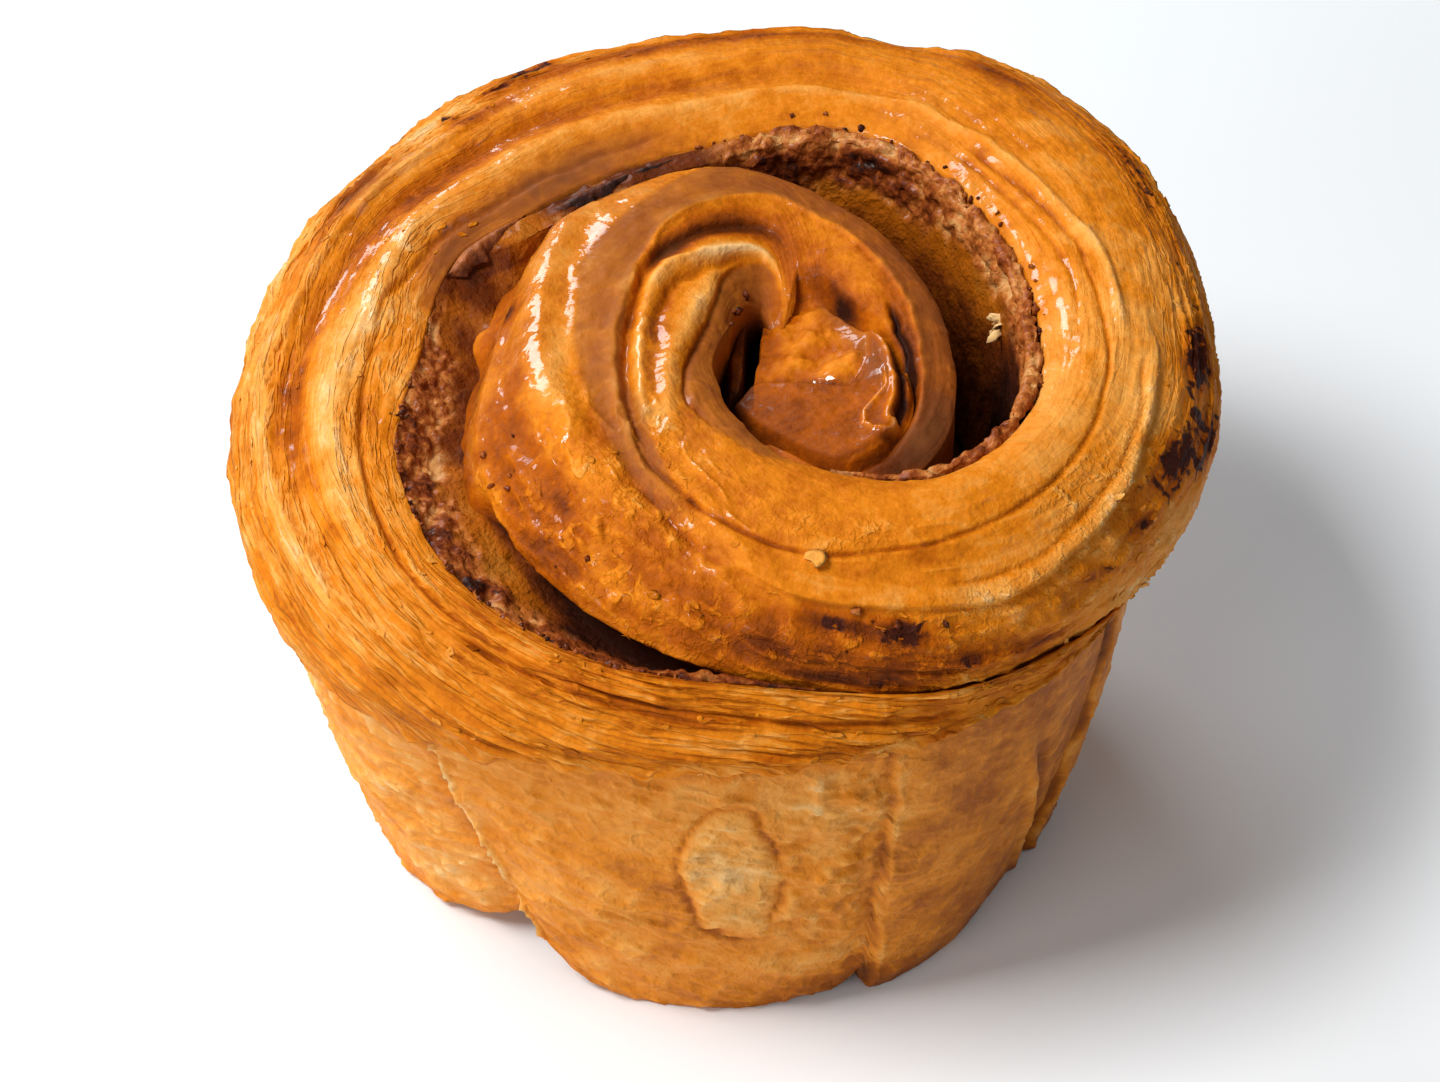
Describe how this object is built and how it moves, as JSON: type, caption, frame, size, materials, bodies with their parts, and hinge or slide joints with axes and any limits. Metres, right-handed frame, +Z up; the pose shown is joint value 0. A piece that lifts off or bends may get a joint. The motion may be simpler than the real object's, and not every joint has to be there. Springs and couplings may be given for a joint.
{
  "type": "cinnamon croissant",
  "caption": "Rolled laminated croissant baked upright in a round tin: a tapered cup of folded dough under a lopsided glazed cap whose spiral has opened to show its cinnamon filling.",
  "frame": {"origin": "centre of the flat foot that the pastry stands on, on the axis of its cup", "axes": "+Z up; the shown side faces -Y, with the cap swelling furthest towards the back right (+X +Y)"},
  "size_m": [0.1009, 0.1007, 0.0645],
  "materials": {
    "glazed_crust": "baked golden to toffee brown under a thin sugar glaze",
    "cinnamon": "dark baked cinnamon sugar, rough and dull"
  },
  "bodies": {
    "root": {"dough": "glazed_crust", "cinnamon_filling": "cinnamon"}
  },
  "joints": []
}
